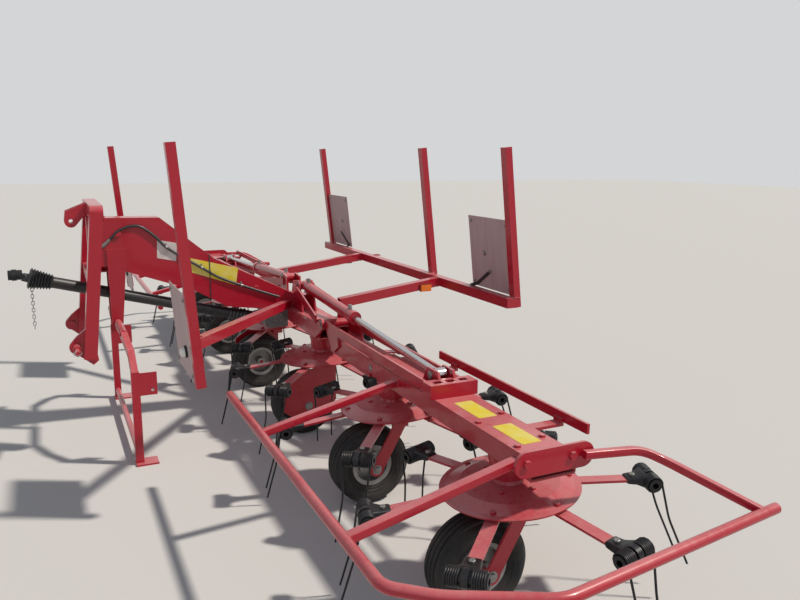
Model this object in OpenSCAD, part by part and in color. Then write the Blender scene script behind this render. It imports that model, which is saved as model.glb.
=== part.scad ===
// Six-rotor hay tedder with a swivelling headstock, in its working position.
// +X is the machine's left, -Y is the tractor's side, +Z is up. Lengths are in millimetres.
// Y values below are counted from the row of rotors. placed() moves them to the frame's origin.

/* [Row of rotors] */
// Distance between neighbouring rotors
rotor_pitch = 1040; // [1030:5:1060]
// Height of each dish's centre
rotor_z = 500; // [490:2:510]
// Forward lean of each rotor's axis
rotor_tilt = 5; // [3:0.5:6]
// Radius of a dish
dish_r = 270; // [240:5:280]
// Thickness of a dish's sheet
dish_t = 5; // [4:1:8]
// Width of a tine arm
arm_w = 50; // [40:1:60]
// Thickness of a tine arm
arm_t = 10; // [8:1:12]
// Radius of the ring on which the tine holders sit
holder_ring_r = 555; // [540:5:565]
// Radius of a tine holder
holder_r = 35; // [28:1:38]
// Length of a tine holder
holder_len = 150; // [120:5:160]
// Radius of a tine's wire
tine_r = 4.5; // [3.5:0.5:5.5]
// Radius of the circle of the tines' tips
tip_ring_r = 678; // [660:2:680]
// How far the tips lie under the dish's centre
tip_drop = 400; // [380:2:410]
// Turn of the first rotor's arms, seen from above
first_phase = 12; // [6:1:20]

/* [Wheels] */
// Radius of a tyre
tyre_r = 198; // [188:1:204]
// Width of a tyre
tyre_w = 156; // [140:2:164]
// Radius of a rim
rim_r = 105; // [95:1:112]
// Radius of a wheel's axle
axle_r = 12.5; // [10:0.5:15]
// How far the wheels run ahead of the rotors
wheel_lead = 140; // [130:2:150]

/* [Beams] */
// Width of the beams, front to back
beam_w = 190; // [180:2:200]
// Height of the beams
beam_h = 80; // [70:1:85]
// Underside of the beams above the ground
beam_z = 625; // [620:1:635]
// Wall of the beams
beam_wall = 6; // [5:0.5:8]
// Length of the centre beam
centre_len = 1440; // [1430:5:1450]
// Outer end of a wing beam, from the middle
wing_end_x = 2860; // [2850:5:2870]
// Fold hinge, from the middle
hinge_x = 780; // [775:1:785]
// Height of the fold hinge
hinge_z = 740; // [735:1:745]
// Radius of the fold hinge's pin
hinge_pin_r = 15; // [12:0.5:18]

/* [Fold cylinders] */
// Root pin of a cylinder, from the middle
root_pin_x = 170; // [160:1:185]
// Height of the root pin
root_pin_z = 870; // [860:1:880]
// Rod's eye, from the middle
eye_x = 2030; // [2020:1:2040]
// Height of the rod's eye
eye_z = 770; // [765:1:785]
// Outer radius of a barrel
barrel_r = 32; // [28:1:36]
// Length of a barrel from its root pin
barrel_len = 880; // [860:5:900]
// Radius of a piston rod
rod_r = 16; // [12:0.5:18]

/* [Guards] */
// Height of the guard hoops
guard_z = 520; // [510:5:530]
// How far the front bar lies ahead of the rotors
guard_lead = 744; // [735:1:760]
// Radius of the guard pipe
guard_r = 20; // [16:1:22]

/* [Front and rear frames] */
// Half width of both frames
frame_half = 1460; // [1450:5:1470]
// Distance of the rear bar behind the rotors
rear_y = 760; // [758:1:775]
// Height of the rear bar
rear_z = 924; // [915:1:930]
// Side of the frames' square tube
frame_tube = 55; // [50:1:60]
// Height of a marker panel
panel_size = 423; // [400:1:425]

/* [Headstock and stand] */
// Height of the lower link pins
link_z = 631; // [620:1:640]
// Height of the upper link hole
upper_z = 1320; // [1315:1:1330]
// Radius of the lower link pins
link_pin_r = 14; // [14:0.5:18]
// Radius of the upper link hole
upper_hole_r = 12.85; // [12.5:0.05:16]
// Half distance of the headstock's legs
leg_half = 330; // [325:1:340]
// Half distance of the stand's legs
stand_half = 634; // [620:1:650]

/* [Hidden] */
$fn = 48;

paint = "#b3262b";
black = "#26272a";
steel = "#a9adb0";
rubber = "#1f1f20";

seat_gap = 0.3;
run_gap = 0.05;

rotor_count = 6;
arm_count = 6;
rotor_x = [for (i = [0:rotor_count - 1]) rotor_pitch * ((rotor_count - 1) / 2 - i)];
rotor_phase = [for (i = [0:rotor_count - 1]) i % 2 == 0 ? first_phase : 180 / arm_count - first_phase];

hub_r = 60;
hub_top = 34;
hub_bottom = -30;
shaft_r = 30;
arm_root_r = 50;
holder_z = -60;
gear_r = 85;

beam_top = beam_z + beam_h;
lug_t = 15;
lug_y = beam_w / 2;
eye_pin_r = 12.5;
eye_r = 28;
cylinder_len = norm([eye_x - root_pin_x, eye_z - root_pin_z]);
cylinder_angle = atan2(root_pin_z - eye_z, eye_x - root_pin_x);
side_bar = 50;
side_bar_y = 85;

leg_reach = tyre_w / 2 + 25;
post_lean = 100;
post_top = 1766;
post_depth = 40;
post_y = rear_y + (frame_tube + post_depth) / 2;
post_foot_z = rear_z - frame_tube / 2;
post_slope = atan(post_lean / (post_top - post_foot_z));
pivot_y = -1250;
stand_hinge_y = -1165;
stand_hinge_z = 700;
pto_end_y = -1740;
rear_reach = post_y + post_depth / 2 * cos(post_slope);
frame_y = (-pto_end_y - rear_reach) / 2;

// The frame's origin lies on the ground under the middle of the whole machine
module placed() {
    translate([0, frame_y, 0]) children();
}

module both_sides() {
    children();
    mirror([1, 0, 0]) children();
}

// Square bar between two points
module bar(from, to, wide, high) {
    along = to - from;
    length = norm(along);
    translate(from)
        rotate([0, -asin(along[2] / length), atan2(along[1], along[0])])
            translate([0, -wide / 2, -high / 2]) cube([length, wide, high]);
}

// Square tube between two points, open at its ends
module tube(from, to, wide, high, wall) {
    along = to - from;
    length = norm(along);
    translate(from)
        rotate([0, -asin(along[2] / length), atan2(along[1], along[0])])
            difference() {
                translate([0, -wide / 2, -high / 2]) cube([length, wide, high]);
                translate([-1, wall - wide / 2, wall - high / 2])
                    cube([length + 2, wide - 2 * wall, high - 2 * wall]);
            }
}

// Round bar between two points
module rod(from, to, r) {
    along = to - from;
    length = norm(along);
    translate(from)
        rotate([0, 90 - asin(along[2] / length), atan2(along[1], along[0])])
            cylinder(h = length, r = r);
}

// Round bar through a list of points, with a ball at each corner, turned along the bar if asked
module bent_rod(points, r, turned) {
    last = len(points) - 2;
    for (i = [0:last]) {
        along = unit(points[i + 1] - points[i]);
        start = points[i] + (i > 0 ? r / 2 : 0) * along;
        end = points[i + 1] - (i < last ? r / 2 : 0) * along;
        rod(start, end, r);
    }
    for (i = [1:last]) {
        along = unit(points[i + 1] - points[i]);
        turn = turned ? [0, 90 - asin(along[2]), atan2(along[1], along[0])] : [0, 0, 0];
        translate(points[i]) rotate(turn) sphere(r = 1.16 * r);
    }
}

function unit(v) = v / norm(v);

// Corners of an outline moved inward by d, for points listed clockwise
function inset(p, d) = [
    for (i = [0:len(p) - 1])
        let (
            a = unit(p[i] - p[(i + len(p) - 1) % len(p)]),
            b = unit(p[(i + 1) % len(p)] - p[i])
        )
            p[i] + d * [a[1] + b[1], -a[0] - b[0]] / (1 + a * b)
];

// Plate drawn in the XZ plane, from y = near to y = near + thick
module xz_plate(near, thick) {
    translate([0, near + thick, 0]) rotate([90, 0, 0]) linear_extrude(thick) children();
}

// Plate drawn in the YZ plane, from x = near to x = near + thick
module yz_plate(near, thick) {
    translate([near, 0, 0]) rotate([90, 0, 90]) linear_extrude(thick) children();
}

// Centre beam with the lugs and pins of both fold hinges
module centre_beam() {
    color(paint) placed() {
        tube([-centre_len / 2, 0, beam_z + beam_h / 2], [centre_len / 2, 0, beam_z + beam_h / 2],
            beam_w, beam_h, beam_wall);
        both_sides() {
            for (near = [lug_y, -lug_y - lug_t]) xz_plate(near, lug_t) hinge_lug_outline();
            translate([hinge_x, 0, hinge_z])
                rotate([90, 0, 0]) cylinder(h = 2 * (lug_y + lug_t + 8), r = hinge_pin_r, center = true);
        }
    }
}

module hinge_lug_outline() {
    lug_r = 34;
    polygon([
        [hinge_x - 260, beam_z + 10], [hinge_x - 100, beam_z + 10],
        [hinge_x + lug_r * 0.8, hinge_z - lug_r * 0.6], [hinge_x, hinge_z + lug_r],
        [hinge_x - 260, beam_top]
    ]);
    translate([hinge_x, hinge_z]) circle(r = lug_r);
}

// Fabricated box beam from the headstock's pivot down to the centre beam
drawbar_half = 60;
drawbar_t = 8;
drawbar_top = [[-1250, 1338], [-890, 1332], [-570, 1065], [-40, 795], [95, 770]];
drawbar_low = [
    [95, beam_top + seat_gap], [-95, beam_top + seat_gap], [-265, beam_top + 7], [-490, 744], [-700, 866],
    [-1200, 1046], [-1250, 1046]
];
drawbar_side = concat(drawbar_top, drawbar_low);
sleeve_r = 55;
sleeve_low = 1046;
sleeve_top = 1345;

module drawbar() {
    color(paint) placed() {
        difference() {
            union() {
                yz_plate(-drawbar_half - drawbar_t, 2 * (drawbar_half + drawbar_t)) polygon(drawbar_side);
                translate([0, pivot_y, sleeve_low]) cylinder(h = sleeve_top - sleeve_low, r = sleeve_r);
            }
            translate([0, pivot_y, sleeve_low - 1])
                cylinder(h = sleeve_top - sleeve_low + 2, r = pivot_pin_r + run_gap);
            difference() {
                yz_plate(-drawbar_half, 2 * drawbar_half) polygon(inset(drawbar_side, drawbar_t));
                translate([0, pivot_y, 1190]) cylinder(h = 400, r = sleeve_r, center = true);
            }
            translate([-drawbar_half, 80, beam_top + drawbar_t + 2])
                cube([2 * drawbar_half, 20, 770 - beam_top - 2 * drawbar_t - 6]);
        }
        stand_hanger();
    }
}

// Two plates under the drawbar that carry the stand's pin
module stand_hanger() {
    hanger_x = drawbar_half + drawbar_t;
    for (near = [hanger_x, -hanger_x - 10]) {
        yz_plate(near, 10) {
            polygon([
                [stand_hinge_y - 32, stand_hinge_z], [stand_hinge_y + 32, stand_hinge_z],
                [stand_hinge_y + 75, 1150], [stand_hinge_y - 40, 1150]
            ]);
            translate([stand_hinge_y, stand_hinge_z]) circle(r = 32);
        }
    }
    rod([-368, stand_hinge_y, stand_hinge_z], [368, stand_hinge_y, stand_hinge_z], stand_pin_r);
}

// Tower on the centre beam: root pins of the cylinders and struts to the hinge lugs
module fold_tower() {
    color(paint) placed() {
        both_sides() {
            for (near = [-50, 38]) {
                xz_plate(near, 12) {
                    polygon([
                        [70, beam_top + seat_gap], [root_pin_x + 90, beam_top + seat_gap], [root_pin_x + 32, root_pin_z],
                        [root_pin_x, root_pin_z + 32], [70, root_pin_z + 20]
                    ]);
                    translate([root_pin_x, root_pin_z]) circle(r = 32);
                }
            }
            translate([root_pin_x, 0, root_pin_z])
                rotate([90, 0, 0]) cylinder(h = 128, r = eye_pin_r, center = true);
            for (side = [-1, 1]) {
                bar([root_pin_x - 40, side * 55, root_pin_z - 20],
                    [hinge_x - 45, side * (lug_y + lug_t + 12), hinge_z + 22], 10, 50);
            }
        }
    }
}

// Gearbox in front of the centre beam, with its input hub
module main_gearbox() {
    color(steel) placed() {
        difference() {
            union() {
                translate([-85, -250, beam_z - 45]) cube([170, 250 - beam_w / 2 - seat_gap, beam_h + 35]);
                for (side = [-1, 1]) {
                    rod([side * 85, -170, gear_axis_z], [side * 110, -170, gear_axis_z], 40);
                }
            }
            translate([0, -250, beam_z - 45]) rotate([45, 0, 0]) cube([200, 30, 30], center = true);
        }
        rod([0, -250, gear_axis_z], [0, -300, gear_axis_z], 40);
    }
}
gear_axis_z = beam_z + 25;

// Housing, tilted shaft, leg and axle that carry one rotor and its wheel
module rotor_carrier(wide_leg) {
    difference() {
        union() {
            translate([0, 0, beam_z - seat_gap - 30]) cylinder(h = 30, r = gear_r);
            translate([0, 0, rotor_z]) rotate([rotor_tilt, 0, 0])
                translate([0, 0, hub_top + 0.5]) cylinder(h = beam_z - rotor_z - hub_top, r = gear_r - 12);
        }
        translate([0, 0, beam_z - seat_gap + 50]) cube([300, 300, 100], center = true);
    }
    translate([0, 0, rotor_z]) rotate([rotor_tilt, 0, 0])
        translate([0, 0, -72]) cylinder(h = 130, r = shaft_r);
    translate([-34, -34, leg_top - 45]) cube([leg_reach + 34, 68, 45]);
    if (wide_leg) {
        yz_plate(leg_reach, 10) {
            polygon([
                [40, leg_top], [-60, leg_top], [-200, leg_top - 30], [-290, leg_top - 90], [-300, tyre_r - 20],
                [-wheel_lead - 60, tyre_r - 90], [-wheel_lead + 60, tyre_r - 90], [40, tyre_r + 20]
            ]);
        }
    } else {
        yz_plate(leg_reach, 12) {
            polygon([
                [34, leg_top], [-34, leg_top], [-wheel_lead - 34, tyre_r], [-wheel_lead + 34, tyre_r - 6]
            ]);
            translate([-wheel_lead, tyre_r]) circle(r = 36);
        }
    }
    rod([leg_reach + 12, -wheel_lead, tyre_r], [-tyre_w / 2 + 20, -wheel_lead, tyre_r], axle_r);
}
leg_top = rotor_z - 58;

module centre_gear() {
    color(paint) placed() {
        both_sides() {
            translate([rotor_x[2], 0, 0]) rotor_carrier(true);
        }
    }
}

// Rear bar with its arms and three upright posts
module rear_frame() {
    arm_x = 643;
    middle_post_x = 464;
    arm_z = 832;
    color(paint) placed() {
        tube([-frame_half, rear_y, rear_z], [frame_half, rear_y, rear_z], frame_tube, frame_tube, 4);
        both_sides() {
            tube([arm_x, 62, arm_z], [arm_x, rear_y, rear_z], frame_tube, frame_tube, 4);
            translate([arm_x - 6, 50, beam_top + seat_gap]) cube([12, 45, arm_z - beam_top - 10]);
            rear_post(frame_half - frame_tube / 2);
        }
        rear_post(middle_post_x);
    }
}

module rear_post(x) {
    bar([x, post_y, post_foot_z], [x, post_y - post_lean, post_top], 50, post_depth);
}

// Front posts, each on a slanted arm from the drawbar's foot
front_y = -950;
front_arm_z = 870;
front_foot = 208;
front_slant = 0.079;

module front_frame() {
    color(paint) placed() {
        both_sides() {
            tube([drawbar_half + drawbar_t + 14, -95, beam_top + 30], [frame_half, front_y, front_arm_z], 50, 50, 4);
            bar([frame_half, front_y + front_slant * front_foot, front_arm_z - front_foot],
                [frame_half, front_y - front_slant * (post_top - front_arm_z), post_top], 45, 45);
        }
    }
}

// Square panels inboard of the end posts
module marker_panels() {
    color("#c9b7b4") placed() {
        both_sides() {
            translate([frame_half - frame_tube / 2 - 25.5 - panel_size, post_y - 5, rear_z + 30])
                rotate([post_slope, 0, 0]) cube([panel_size, 3, panel_size]);
            translate([frame_half - 23 - panel_size, front_y - 5, 672])
                rotate([4.5, 0, 0]) cube([panel_size, 3, panel_size]);
        }
    }
}

module marker_lamps() {
    color("orange") placed() {
        both_sides() translate([643 + frame_tube / 2 + seat_gap, 600, 870]) cube([22, 70, 40]);
    }
}

// Drive shaft to the tractor: guard tube with a bellows at each end and a yoke
yoke_r = 17.5;
yoke_depth = 55;
pto_rear = [0, -330, gear_axis_z];
pto_front = [0, pto_end_y + 80, 1000];

module pto_shaft() {
    along = unit(pto_front - pto_rear);
    color(black) placed() {
        rod(pto_rear + along * 120, pto_front - along * 60, 34);
        for (i = [0:4]) rod(pto_rear + along * (40 + i * 22), pto_rear + along * (55 + i * 22), 50 - i * 3.5);
        rod(pto_rear - along * 20, pto_rear + along * 125, 40);
        for (i = [0:3]) rod(pto_front - along * (100 - i * 16), pto_front - along * (90 - i * 16), 48);
        rod(pto_front - along * 60, pto_front + along * 8, 26);
        difference() {
            rod([0, pto_end_y, pto_front[2] + 15], [0, pto_end_y + 75, pto_front[2] + 15], 29);
            rod([0, pto_end_y - 1, pto_front[2] + 15], [0, pto_end_y + yoke_depth, pto_front[2] + 15], yoke_r);
        }
    }
}

// Hydraulic hose clipped along the drawbar's left side
hose_r = 8;
hose_route = [
    [76.5, -1190, 1200], [76.5, -1120, 1265], [76.5, -1020, 1285], [76.5, -930, 1225], [76.5, -860, 1150],
    [76.5, -760, 1080], [76.5, -650, 1010], [76.5, -540, 940], [76.5, -400, 880], [76.5, -260, 825],
    [76.5, -150, 785]
];
hose_sides = 8;

function path_direction(i) =
    unit(hose_route[min(i + 1, len(hose_route) - 1)] - hose_route[max(i - 1, 0)]);
function ring(i) =
    let (along = path_direction(i), side = unit(cross(along, [1, 0, 0])), up = cross(side, along))
        [for (k = [0:hose_sides - 1])
            hose_route[i] + hose_r * (cos(360 * k / hose_sides) * side + sin(360 * k / hose_sides) * up)];

module hose() {
    rings = len(hose_route);
    points = [for (i = [0:rings - 1]) each ring(i)];
    walls = [for (i = [0:rings - 2], k = [0:hose_sides - 1])
        [i * hose_sides + k, i * hose_sides + (k + 1) % hose_sides,
            (i + 1) * hose_sides + (k + 1) % hose_sides, (i + 1) * hose_sides + k]];
    first = [for (k = [0:hose_sides - 1]) hose_sides - 1 - k];
    last = [for (k = [0:hose_sides - 1]) (rings - 1) * hose_sides + k];
    color(black) placed() polyhedron(points, concat(walls, [first, last]));
}

// Swivelling headstock with two lower pins and an upper bracket
pivot_pin_r = 20;
head_top = [leg_half, -1262, 1395];
head_foot = [leg_half, -1345, 560];
link_y = -1414;
upper_y = -1385;

module headstock() {
    color(paint) placed() {
        both_sides() {
            tube(head_foot, head_top, 90, 70, 6);
            translate(head_top - [0, 0, 10]) rotate([90, 0, 0]) cylinder(h = 70, r = 45, center = true);
            yz_plate(leg_half - 10, 20) {
                polygon([
                    [-1300, 545], [-1330, 520], [link_y, link_z - 40], [link_y - 34, link_z + 20],
                    [link_y, link_z + 60], [-1330, 760]
                ]);
                translate([link_y, link_z]) circle(r = 38);
            }
            rod([leg_half - 30, link_y, link_z], [leg_half + 82, link_y, link_z], 22);
            rod([leg_half + 60, link_y, link_z], [leg_half + 167, link_y, link_z], link_pin_r);
        }
        difference() {
            union() {
                tube([-leg_half, head_top[1], head_top[2]], [leg_half, head_top[1], head_top[2]], 70, 70, 6);
                for (near = [-44, 30]) yz_plate(near, 14) upper_bracket_outline();
            }
            translate([0, upper_y, upper_z])
                rotate([0, 90, 0]) cylinder(h = 120, r = upper_hole_r, center = true);
        }
        tube([-leg_half, -1295, 1000], [leg_half, -1295, 1000], 60, 60, 5);
        translate([-60, -1325, 1012]) cube([120, 120, 8]);
        translate([0, pivot_y, 1012]) cylinder(h = 360, r = pivot_pin_r);
        translate([0, pivot_y, 1012]) cylinder(h = sleeve_low - 0.5 - 1012, r = sleeve_r - 10);
    }
}

module upper_bracket_outline() {
    polygon([
        [head_top[1] - 30, head_top[2] + 35], [head_top[1] - 30, head_top[2] - 35], [head_top[1] - 46, head_top[2] - 40],
        [upper_y + 30, upper_z - 20], [upper_y, upper_z - 36], [upper_y - 36, upper_z], [upper_y - 28, upper_z + 60]
    ]);
    translate([upper_y, upper_z]) circle(r = 36);
}

// Folding stand: two legs, a strut between them and the arms to its pin
stand_pin_r = 12;
stand_y = -1140;

module stand() {
    sleeve_end = 360;
    color(paint) placed() {
        both_sides() {
            difference() {
                rod([84, stand_hinge_y, stand_hinge_z], [sleeve_end + 20, stand_hinge_y, stand_hinge_z], 22);
                rod([83, stand_hinge_y, stand_hinge_z], [sleeve_end + 10, stand_hinge_y, stand_hinge_z],
                    stand_pin_r + run_gap);
            }
            bar([385, stand_hinge_y, stand_hinge_z], [548, stand_y - 5, 618], 36, 40);
            rod([370, stand_hinge_y, stand_hinge_z], [400, stand_hinge_y, stand_hinge_z], 22);
            bar([538, stand_y - 5, 628], [stand_half, stand_y, 512], 36, 40);
            bar([stand_half, stand_y, 536], [stand_half, stand_y, 8], 44, 36);
            translate([stand_half - 4, stand_y, 395]) plate_with_hole();
            translate([stand_half - 50, stand_y - 22, 0]) cube([100, 120, 10]);
        }
        rod([-stand_half, stand_y, 62], [stand_half, stand_y, 62], 17);
    }
}

module plate_with_hole() {
    difference() {
        cube([8, 115, 130]);
        translate([-1, 90, 28]) rotate([0, 90, 0]) cylinder(h = 10, r = 9);
    }
}

// Left wing: hinge tube, side bars, link box, beam, end plate, cylinder bracket and rear rail
link_box_x = [840, 1410];
outer_beam_x = 1500;
end_plate_h = beam_h + 14;
end_plate_z = beam_top - 11;

module wing_beam() {
    difference() {
        union() {
            translate([hinge_x, 0, hinge_z])
                rotate([90, 0, 0]) cylinder(h = beam_w - 2, r = 28, center = true);
            for (side = [-1, 1]) {
                bar([hinge_x, side * side_bar_y, hinge_z], [eye_x + 90, side * side_bar_y, beam_top + 27],
                    12, side_bar);
            }
            for (near = [-80, 68]) xz_plate(near, 12) polygon([
                [hinge_x - 24, hinge_z - 12], [hinge_x, hinge_z + 26], [link_box_x[0] + 120, hinge_z + 10],
                [link_box_x[0] + 150, beam_z + 25], [link_box_x[0] + 60, beam_z - 30], [link_box_x[0] + 5, beam_z + 25]
            ]);
        }
        translate([hinge_x, 0, hinge_z])
            rotate([90, 0, 0]) cylinder(h = beam_w, r = hinge_pin_r + run_gap, center = true);
    }
    tube([link_box_x[0], 0, beam_z + 15], [link_box_x[1], 0, beam_z + 15], 136, 100, 6);
    tube([outer_beam_x, 0, beam_z + beam_h / 2], [wing_end_x, 0, beam_z + beam_h / 2],
        beam_w, beam_h, beam_wall);
    yz_plate(wing_end_x, 12) {
        translate([-120, end_plate_z - end_plate_h / 2]) square([240, end_plate_h]);
        for (y = [-120, 120]) translate([y, end_plate_z]) circle(r = end_plate_h / 2);
    }
    cylinder_bracket();
    rear_rail();
}

// Lugs beside the rod's eye and the slotted cover over the side bars' ends
module cylinder_bracket() {
    for (near = [-44, 32]) {
        xz_plate(near, 12) polygon([
            [eye_x - 90, beam_top], [eye_x + 110, beam_top], [eye_x + 60, eye_z + 30], [eye_x - 30, eye_z + 30]
        ]);
    }
    difference() {
        translate([eye_x + 60, -beam_w / 2 - 20, beam_top]) cube([80, beam_w + 40, 62]);
        translate([eye_x + 50, -beam_w / 2 - 12, beam_top - 1]) cube([82, beam_w + 24, 56]);
        for (side = [-1, 0, 1]) {
            translate([eye_x + 85, side * 62 - 20, beam_top + 40]) cube([30, 40, 60]);
        }
    }
}

module rear_rail() {
    rail_y = 235;
    rail_z = beam_top;
    translate([1600, rail_y, rail_z]) cube([1150, 12, 40]);
    for (x = [1740, 2560]) {
        translate([x, beam_w / 2 - 1, rail_z - 15]) cube([50, rail_y - beam_w / 2 + 1, 12]);
        translate([x, rail_y - 10, rail_z - 15]) cube([50, 12, 30]);
    }
}

module left_wing_beam() {
    color(paint) placed() wing_beam();
}

module right_wing_beam() {
    color(paint) placed() mirror([1, 0, 0]) wing_beam();
}

// Carriers of a wing's two rotors, with the casting between link box and beam
module wing_gear() {
    for (i = [0, 1]) translate([rotor_x[i], 0, 0]) rotor_carrier(false);
    casting = [link_box_x[1] + seat_gap, outer_beam_x - seat_gap];
    translate([casting[0], -72, beam_z - 10]) cube([casting[1] - casting[0], 144, beam_h + 5]);
}

module left_wing_gear() {
    color(paint) placed() wing_gear();
}

module right_wing_gear() {
    color(paint) placed() mirror([1, 0, 0]) wing_gear();
}

// Hoop in front of and beside the two outer rotors, with its arms
module guard() {
    arm_x = [1783, 2780];
    arm_r = 16;
    bent_rod([
        [1190, -guard_lead, guard_z], [3070, -guard_lead, guard_z], [3180, -620, guard_z],
        [3337, -312, guard_z], [3205, 706, guard_z]
    ], guard_r, true);
    for (x = arm_x) {
        bar([x, -beam_w / 2 - 4, beam_z + 45], [x, -guard_lead + 4, guard_z + 1], 40, 31);
    }
    bent_rod([
        [wing_end_x + 12 + arm_r + seat_gap, 110, end_plate_z + 6], [wing_end_x + 56, 344, end_plate_z - 5],
        [wing_end_x + 110, 424, end_plate_z - 45], [3213.6, 640, guard_z]
    ], arm_r, true);
}

module left_guard() {
    color(paint) placed() guard();
}

module right_guard() {
    color(paint) placed() mirror([1, 0, 0]) guard();
}

// Fold cylinder, drawn along its axis from its root pin
module along_cylinder() {
    translate([root_pin_x, 0, root_pin_z]) rotate([0, cylinder_angle, 0]) children();
}

module barrel() {
    along_cylinder() difference() {
        union() {
            rotate([90, 0, 0]) cylinder(h = 66, r = eye_r, center = true);
            rod([10, 0, 0], [barrel_len, 0, 0], barrel_r);
            rod([barrel_len - 50, 0, 0], [barrel_len, 0, 0], barrel_r + 5);
        }
        rotate([90, 0, 0]) cylinder(h = 68, r = eye_pin_r + run_gap, center = true);
        rod([45, 0, 0], [barrel_len - 40, 0, 0], barrel_r - 6);
        rod([barrel_len - 60, 0, 0], [barrel_len + 1, 0, 0], rod_r + run_gap);
    }
}

module piston_rod() {
    rod_start = barrel_len - 140;
    along_cylinder() {
        rod([rod_start, 0, 0], [cylinder_len - 10, 0, 0], rod_r);
        rod([rod_start, 0, 0], [rod_start + 40, 0, 0], barrel_r - 6.1);
        translate([cylinder_len, 0, 0]) rotate([90, 0, 0]) cylinder(h = 50, r = eye_r, center = true);
    }
}

module left_barrel() {
    color(paint) placed() barrel();
}

module right_barrel() {
    color(paint) placed() mirror([1, 0, 0]) barrel();
}

module left_rod() {
    color("silver") placed() piston_rod();
}

module right_rod() {
    color("silver") placed() mirror([1, 0, 0]) piston_rod();
}

// One rotor, numbered from the left, drawn about its own tilted axis
module at_rotor(i) {
    placed() translate([rotor_x[i], 0, rotor_z]) rotate([rotor_tilt, 0, 0]) rotate([0, 0, rotor_phase[i]])
        children();
}

module each_arm() {
    for (k = [0:arm_count - 1]) rotate([0, 0, k * 360 / arm_count]) children();
}

module rotor(i) {
    arm_slope = atan2(-holder_z - 12, holder_ring_r - arm_root_r);
    color(paint) at_rotor(i) {
        difference() {
            union() {
                rotate_extrude() polygon([
                    [0, hub_bottom], [hub_r, hub_bottom], [hub_r, 12], [dish_r * 0.7, 4], [dish_r * 0.9, -14],
                    [dish_r, -16], [dish_r, -16 + dish_t], [dish_r * 0.91, -14 + dish_t],
                    [dish_r * 0.71, 4 + dish_t], [hub_r + 8, 12 + dish_t], [hub_r, hub_top], [0, hub_top]
                ]);
                each_arm() translate([arm_root_r, 0, -12]) rotate([0, arm_slope, 0])
                    translate([0, -arm_w / 2, -arm_t / 2])
                        cube([holder_ring_r - arm_root_r - holder_r - seat_gap, arm_w, arm_t]);
            }
            translate([0, 0, hub_bottom - 1]) cylinder(h = hub_top - hub_bottom + 2, r = shaft_r + run_gap);
        }
    }
}

// Spring holders at the arms' ends, with two tines each
module tines(i) {
    tine_y = 52;
    color(black) at_rotor(i) each_arm() {
        translate([holder_ring_r, 0, holder_z]) rotate([90, 0, 0])
            cylinder(h = holder_len, r = holder_r, center = true);
        for (side = [-1, 1]) {
            bent_rod([
                [holder_ring_r + 12, side * tine_y, holder_z - 20], [holder_ring_r + 60, side * tine_y - 10, -210],
                [tip_ring_r, side * tine_y - 40, -tip_drop]
            ], tine_r, false);
        }
    }
}

// Wheel of one rotor, drawn about its own axle along X
module at_wheel(i) {
    placed() translate([rotor_x[i], -wheel_lead, tyre_r]) rotate([0, 90, 0]) children();
}

module rim(i) {
    wall = 4;
    color(steel) at_wheel(i) difference() {
        rotate_extrude() {
            polygon([
                [0, -45], [28, -45], [28, -10], [rim_r - 20, -10], [rim_r - 20, -48], [rim_r - seat_gap, -54],
                [rim_r - seat_gap, 54], [rim_r - 20, 48], [rim_r - 20, -4], [28, -4], [28, 62], [0, 62]
            ]);
        }
        cylinder(h = 400, r = axle_r + run_gap, center = true);
    }
}

module tyre(i) {
    shoulder = 32;
    half = tyre_w / 2;
    color(rubber) at_wheel(i) rotate_extrude() {
        translate([rim_r, -half + 12]) square([tyre_r - rim_r - shoulder, tyre_w - 24]);
        translate([rim_r + 22, -half]) square([tyre_r - rim_r - 22 - shoulder, tyre_w]);
        translate([rim_r + shoulder, shoulder - half]) square([tyre_r - rim_r - shoulder, tyre_w - 2 * shoulder]);
        for (side = [-1, 1]) translate([tyre_r - shoulder, side * (half - shoulder)]) circle(r = shoulder);
    }
}

centre_beam();
drawbar();
fold_tower();
main_gearbox();
centre_gear();
rear_frame();
front_frame();
marker_panels();
marker_lamps();
pto_shaft();
hose();
headstock();
stand();
left_wing_beam();
left_wing_gear();
left_guard();
left_barrel();
left_rod();
right_wing_beam();
right_wing_gear();
right_guard();
right_barrel();
right_rod();
for (i = [0:rotor_count - 1]) {
    rotor(i);
    tines(i);
    rim(i);
    tyre(i);
}
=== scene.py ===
"""Mounted hay tedder with six tined reels: paint, rubber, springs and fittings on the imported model.

All sizes are in metres. Where ROW is added to y, the place is measured from the row of reels.
"""
import math

import bmesh
import bpy
import numpy as np
from mathutils import Matrix


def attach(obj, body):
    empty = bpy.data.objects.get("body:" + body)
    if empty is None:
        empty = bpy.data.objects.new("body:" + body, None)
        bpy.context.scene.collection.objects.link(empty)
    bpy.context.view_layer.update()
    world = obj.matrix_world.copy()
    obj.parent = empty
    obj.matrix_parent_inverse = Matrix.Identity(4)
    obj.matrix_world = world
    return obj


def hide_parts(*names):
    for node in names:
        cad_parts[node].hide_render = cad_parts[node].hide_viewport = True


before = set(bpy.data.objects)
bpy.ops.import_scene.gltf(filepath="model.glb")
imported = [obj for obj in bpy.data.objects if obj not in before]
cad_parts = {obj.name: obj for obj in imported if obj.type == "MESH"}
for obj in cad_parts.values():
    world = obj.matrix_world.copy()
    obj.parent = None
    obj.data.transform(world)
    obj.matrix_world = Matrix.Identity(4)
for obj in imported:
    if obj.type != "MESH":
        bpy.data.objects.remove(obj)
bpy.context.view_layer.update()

# The photograph
# It was taken from beside the left wing's end, a little ahead of the reels and at a standing
# person's eye height, with a wide lens that looks along the wings.
ROW = 0.45632  # the row of reels lies this far behind the origin
LENS = 741 / 800  # focal length over the picture's width
SENSOR = 36  # millimetres
eye = np.array([4.80, ROW - 1.53, 1.72])
yaw, pitch, roll = np.radians([25.72, 11.07, -0.53])
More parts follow.
